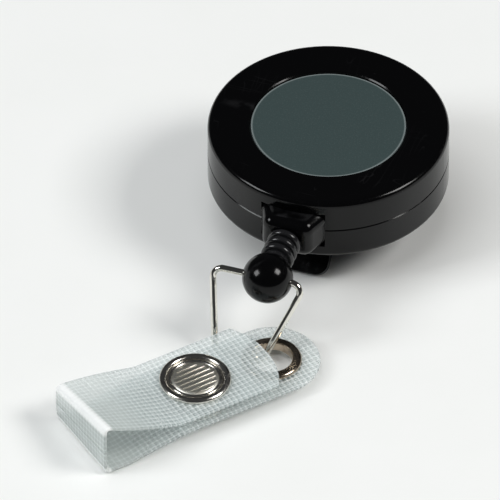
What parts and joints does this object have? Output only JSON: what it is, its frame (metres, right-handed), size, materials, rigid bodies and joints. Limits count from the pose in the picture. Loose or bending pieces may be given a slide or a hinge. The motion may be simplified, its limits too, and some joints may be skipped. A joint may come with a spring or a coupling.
{
  "type": "retractable badge reel",
  "caption": "Round retractable reel with a belt clip, a pull-out cord, a hinged wire loop and a clear snap strap for a badge.",
  "frame": {"origin": "centre of the label's face, on the spool's axis", "axes": "+Z out of the label and up, the cord leaves along -Y, +X to the right seen from the label side"},
  "size_m": [0.0377, 0.0739, 0.0156],
  "materials": {
    "black_plastic": "glossy moulded black plastic",
    "black_rubber": "soft black rubber",
    "label_slate": "satin slate grey",
    "steel_pin": "turned",
    "spring_steel": "blued strip",
    "spool_white": "natural acetal",
    "cord_black": "braided nylon",
    "nickel_wire": "bright nickel plate",
    "nickel_plate": "nickel plated brass",
    "strap_vinyl": "clear vinyl with a woven scrim"
  },
  "bodies": {
    "case": {"front_shell": "black_plastic", "rear_shell": "black_plastic", "label_disc": "label_slate", "centre_post": "steel_pin", "cord_guide": "black_plastic", "mainspring": "spring_steel", "cord_lead": "cord_black"},
    "spool": {"spool_drum": "spool_white", "spool_cover": "spool_white", "cord_winding": "cord_black"},
    "end_fitting": {"ribbed_boot": "black_rubber", "end_ball": "black_plastic", "cord_tail": "cord_black", "cord_knot": "cord_black"},
    "loop": {"wire_loop": "nickel_wire"},
    "strap": {"strap_lower": "strap_vinyl", "eyelet_barrel": "nickel_plate", "eyelet_washer": "nickel_plate", "snap_stud": "nickel_plate", "snap_post": "nickel_plate"},
    "strap_bend": {"strap_fold": "strap_vinyl"},
    "flap": {"strap_flap": "strap_vinyl", "snap_cap": "nickel_plate", "snap_socket": "nickel_plate"},
    "clip": {"belt_clip": "black_plastic"}
  },
  "joints": [
    {"name": "spool_spin", "type": "hinge", "parent": "case", "child": "spool", "pos_m": [0, 0, -0.0044], "axis": [0, 0, 1], "range_deg": [0, 3450]},
    {"name": "cord_pull", "type": "slide", "parent": "case", "child": "end_fitting", "axis": [0, -1, 0], "range_m": [0, 0.61], "stiffness_N_per_m": 0.5, "springref_m": -2},
    {"name": "loop_swing", "type": "hinge", "parent": "end_fitting", "child": "loop", "pos_m": [0, -0.0264, -0.0044], "axis": [1, 0, 0], "range_deg": [-150, 20]},
    {"name": "strap_swivel", "type": "hinge", "parent": "loop", "child": "strap", "pos_m": [0.00122, -0.03051, -0.01372], "axis": [0, 0, 1], "range_deg": [-2, 100]},
    {"name": "fold_open", "type": "hinge", "parent": "strap", "child": "strap_bend", "pos_m": [-0.01665, -0.05328, -0.01503], "axis": [0.749, -0.6626, 0], "range_deg": [0, 88]},
    {"name": "flap_open", "type": "hinge", "parent": "strap_bend", "child": "flap", "pos_m": [-0.01665, -0.05328, -0.00863], "axis": [0.749, -0.6626, 0], "range_deg": [0, 78]},
    {"name": "clip_open", "type": "hinge", "parent": "case", "child": "clip", "pos_m": [0, 0.01342, -0.0082], "axis": [1, 0, 0], "range_deg": [0, 7], "stiffness_Nm_per_rad": 0.3, "springref_deg": -2.86}
  ],
  "couplings": [
    {"joint": "spool_spin", "follows": "cord_pull", "rad_per_m": 98.522},
    {"joint": "flap_open", "follows": "fold_open", "ratio": 0.88}
  ]
}
